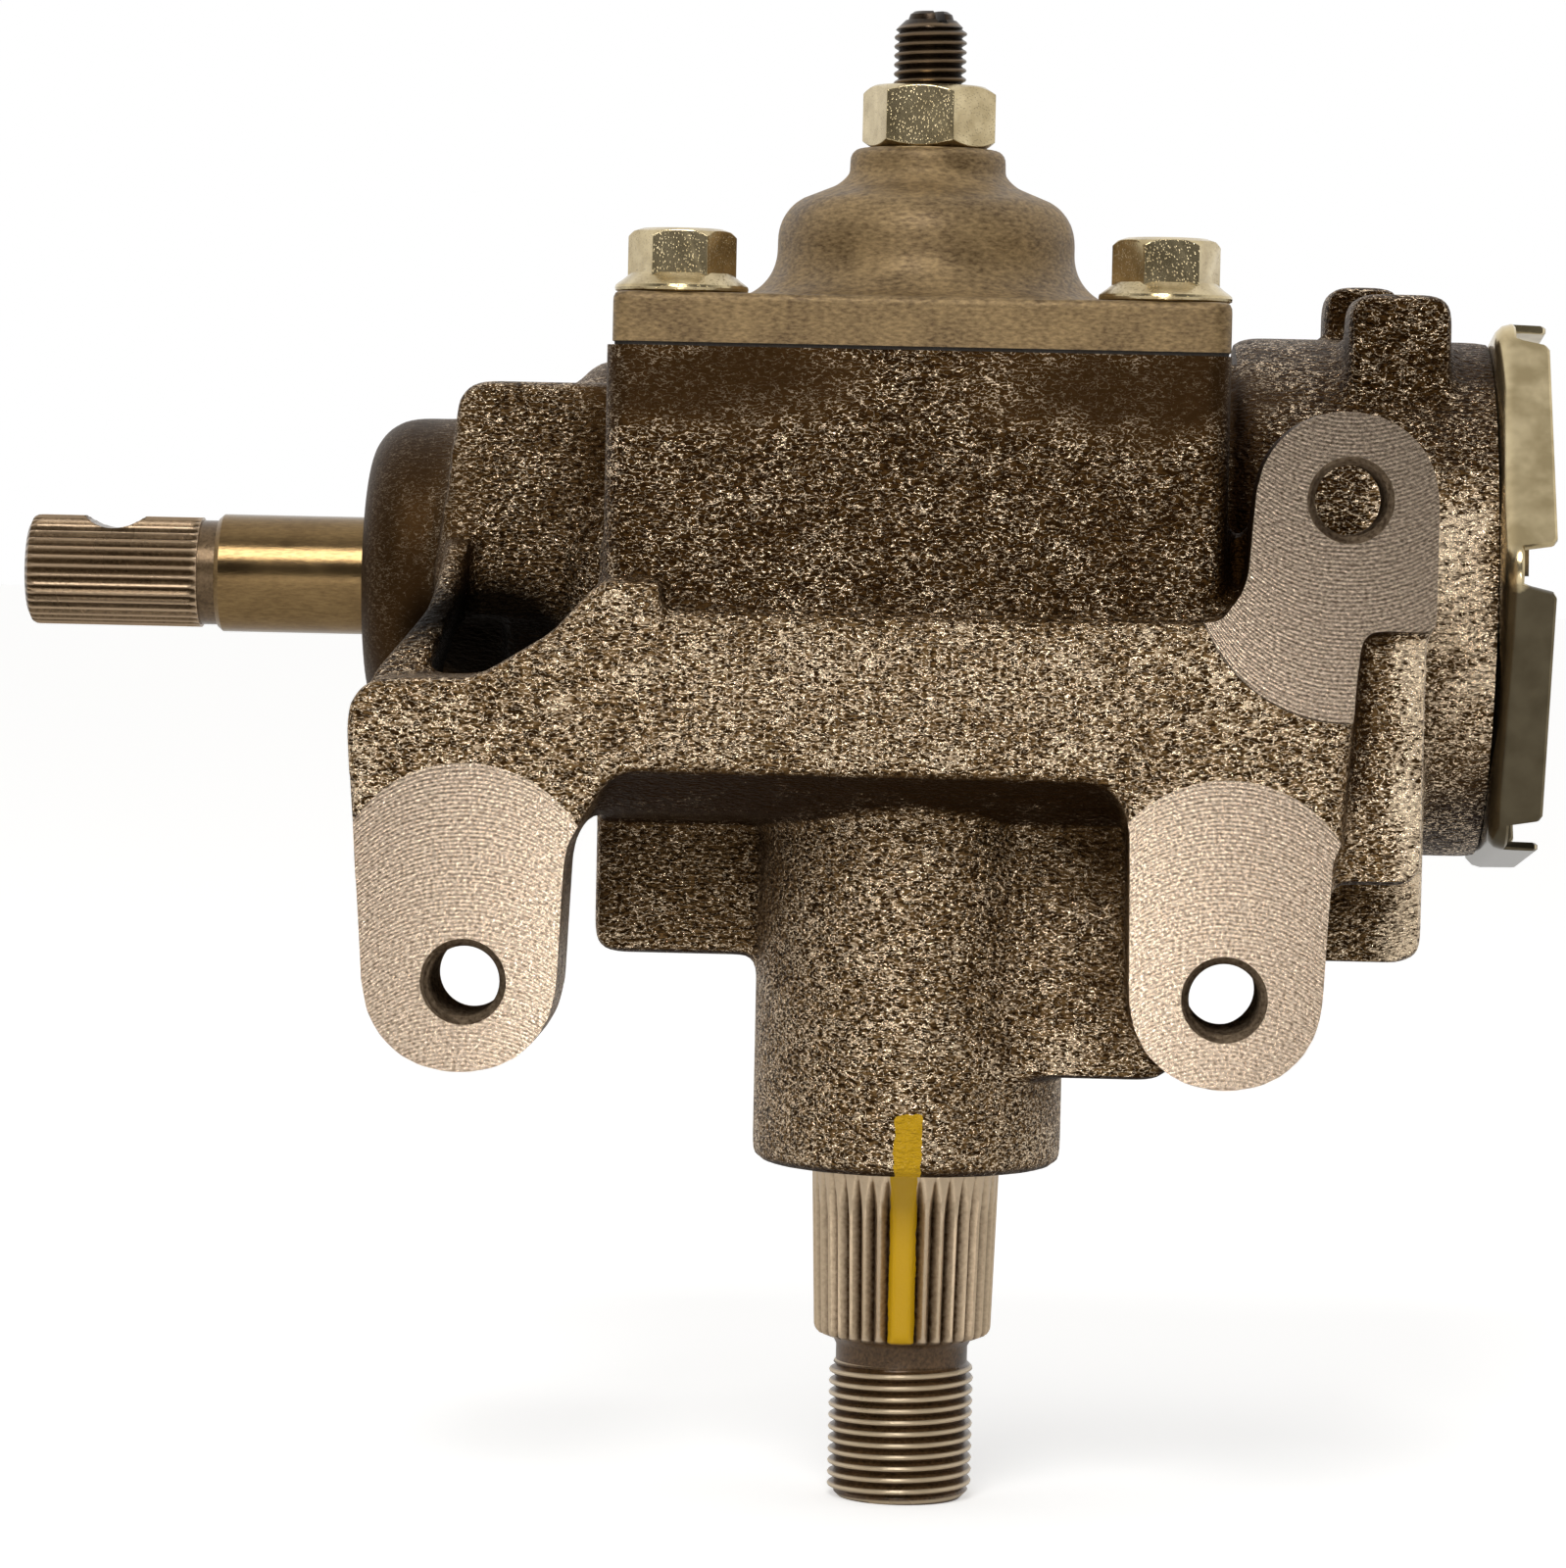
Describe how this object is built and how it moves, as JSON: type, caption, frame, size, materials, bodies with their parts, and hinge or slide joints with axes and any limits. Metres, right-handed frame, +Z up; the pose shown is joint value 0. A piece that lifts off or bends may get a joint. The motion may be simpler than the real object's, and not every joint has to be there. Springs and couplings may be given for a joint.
{
  "type": "steering gearbox",
  "caption": "Manual recirculating-ball steering gearbox: iron housing with tapped mounting ears, alloy side cover with lash adjuster, splined input shaft and splined arm shaft.",
  "frame": {"origin": "on the sector shaft axis, at the lower end of the sector tube, where the arm spline leaves the housing", "axes": "+Z up along the sector shaft towards the lash adjuster, +X along the worm from the input shaft to the bearing adjuster, -Y out of the mounting pads"},
  "size_m": [0.2172, 0.1152, 0.205],
  "materials": {
    "cast_iron": "rough sand-cast iron, bare and oiled, milled pale on the pads",
    "cover_alloy": "blasted die-cast alloy with a milled edge",
    "gasket_fibre": "dark pressed fibre",
    "zinc_plate": "bright zinc plate with a yellow-green tint",
    "dark_steel": "oiled dark thread",
    "bearing_steel": "polished hardened steel",
    "shaft_steel": "ground steel with a thin oil film",
    "bronze": "turned bronze",
    "seal_rubber": "black moulded rubber",
    "retainer_brass": "pressed brass",
    "nut_steel": "machined steel, oiled",
    "sheet_steel": "pressed sheet steel"
  },
  "bodies": {
    "housing": {"gear_housing": "cast_iron", "side_cover": "cover_alloy", "cover_gasket": "gasket_fibre", "cover_bolts": "zinc_plate", "lash_adjuster": "dark_steel", "lash_lock_nut": "zinc_plate", "lash_shim": "bearing_steel", "cover_bush": "bronze", "tube_bush": "bronze", "sector_seal": "seal_rubber", "worm_seal": "seal_rubber", "upper_bearing_cup": "bearing_steel", "lower_bearing_cup": "bearing_steel", "bearing_adjuster": "nut_steel", "adjuster_lock_nut": "zinc_plate"},
    "sector": {"sector_shaft": "shaft_steel"},
    "worm": {"worm_shaft": "shaft_steel"},
    "nut": {"ball_nut": "nut_steel", "ball_train": "bearing_steel", "ball_guides": "sheet_steel", "guide_clamp": "sheet_steel", "clamp_screws": "zinc_plate"},
    "upper_cage": {"upper_bearing_balls": "bearing_steel", "upper_bearing_retainer": "retainer_brass"},
    "lower_cage": {"lower_bearing_balls": "bearing_steel", "lower_bearing_retainer": "retainer_brass"}
  },
  "joints": [
    {"name": "sector_turn", "type": "hinge", "parent": "housing", "child": "sector", "pos_m": [0, 0, 0], "axis": [0, 0, 1], "range_deg": [-40, 40]},
    {"name": "worm_turn", "type": "hinge", "parent": "housing", "child": "worm", "pos_m": [0, 0.041, 0.0787], "axis": [1, 0, 0], "range_deg": [-641, 641]},
    {"name": "nut_slide", "type": "slide", "parent": "housing", "child": "nut", "axis": [1, 0, 0], "range_m": [-0.014, 0.014]},
    {"name": "upper_bearing_turn", "type": "hinge", "parent": "housing", "child": "upper_cage", "pos_m": [0, 0.041, 0.0787], "axis": [1, 0, 0], "range_deg": [-262, 262]},
    {"name": "lower_bearing_turn", "type": "hinge", "parent": "housing", "child": "lower_cage", "pos_m": [0, 0.041, 0.0787], "axis": [1, 0, 0], "range_deg": [-262, 262]}
  ],
  "couplings": [
    {"joint": "worm_turn", "follows": "sector_turn", "ratio": 16},
    {"joint": "nut_slide", "follows": "sector_turn", "m_per_rad": -0.02},
    {"joint": "upper_bearing_turn", "follows": "sector_turn", "ratio": 6.528},
    {"joint": "lower_bearing_turn", "follows": "sector_turn", "ratio": 6.528}
  ]
}
